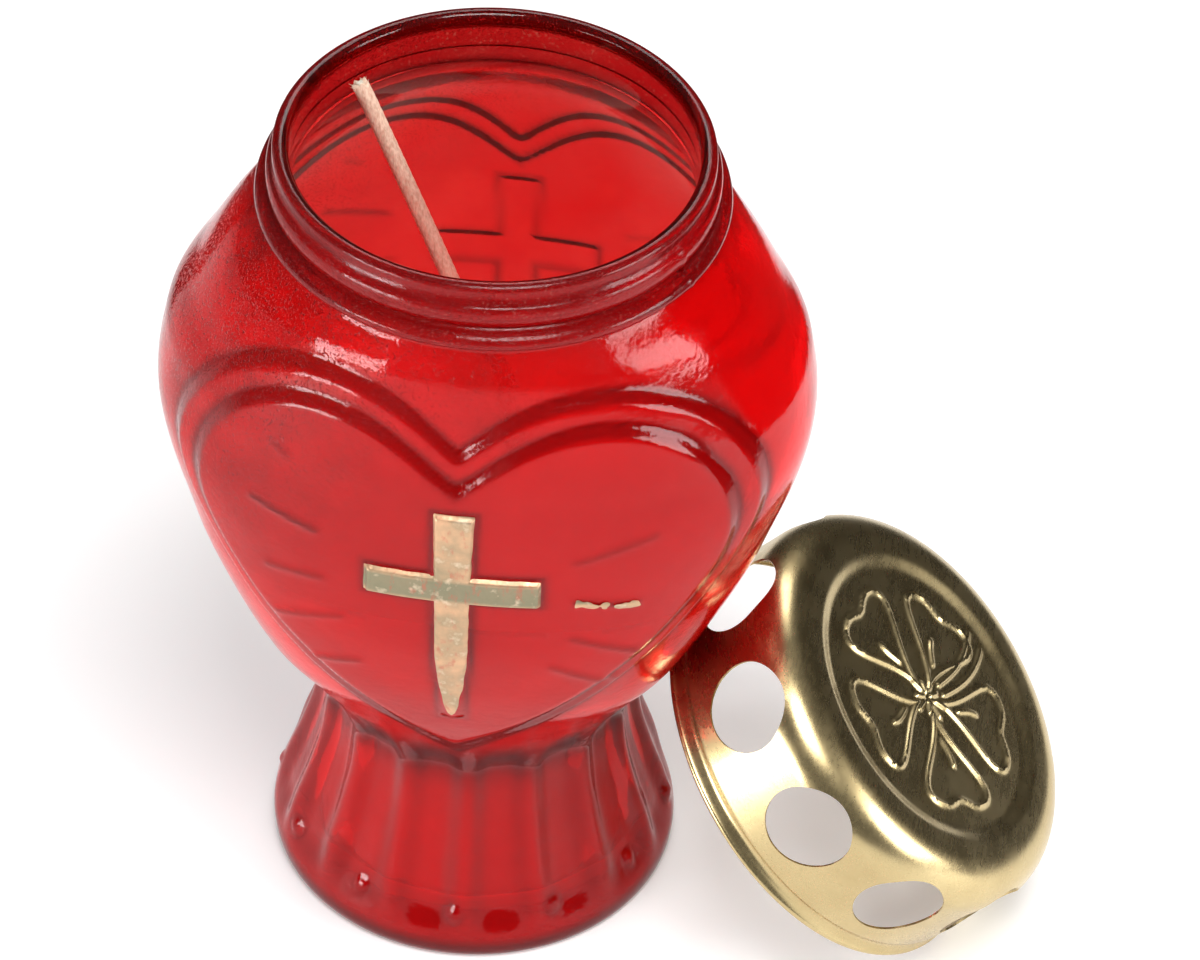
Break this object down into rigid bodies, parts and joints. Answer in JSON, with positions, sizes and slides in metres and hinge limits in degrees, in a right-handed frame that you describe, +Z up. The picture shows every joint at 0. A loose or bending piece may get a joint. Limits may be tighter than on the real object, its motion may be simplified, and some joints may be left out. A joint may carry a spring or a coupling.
{
  "type": "sanctuary lamp",
  "caption": "Red pressed-glass heart grave lamp with a gold cross, a candle and stiff wick, and a vented gold tinplate cap off its neck and leaning against the glass",
  "frame": {"origin": "Centre of the flat underside of the glass foot, where the lamp's upright axis meets the surface it stands on", "axes": "+Z up along the glass's axis; the heart with the painted cross faces -Y; the cap leans at +X"},
  "size_m": [0.166, 0.0888, 0.1644],
  "materials": {
    "red_glass": "gloss",
    "gold_paint": "satin",
    "wax": "satin",
    "wick_braid": "matte",
    "wick_paper": "matte",
    "tinplate": "satin",
    "gold_tinplate": "satin"
  },
  "bodies": {
    "glass": {"glass_body": "red_glass", "gold_cross": "gold_paint", "wax_fill": "wax", "wick": "wick_braid", "wick_core": "wick_paper", "wick_sustainer": "tinplate"},
    "cap": {"cap": "gold_tinplate"}
  },
  "joints": [
    {"name": "cap_lift", "type": "slide", "parent": "glass", "child": "cap", "axis": [0.6842, -0.0478, 0.7278], "range_m": [0, 0.12]}
  ]
}
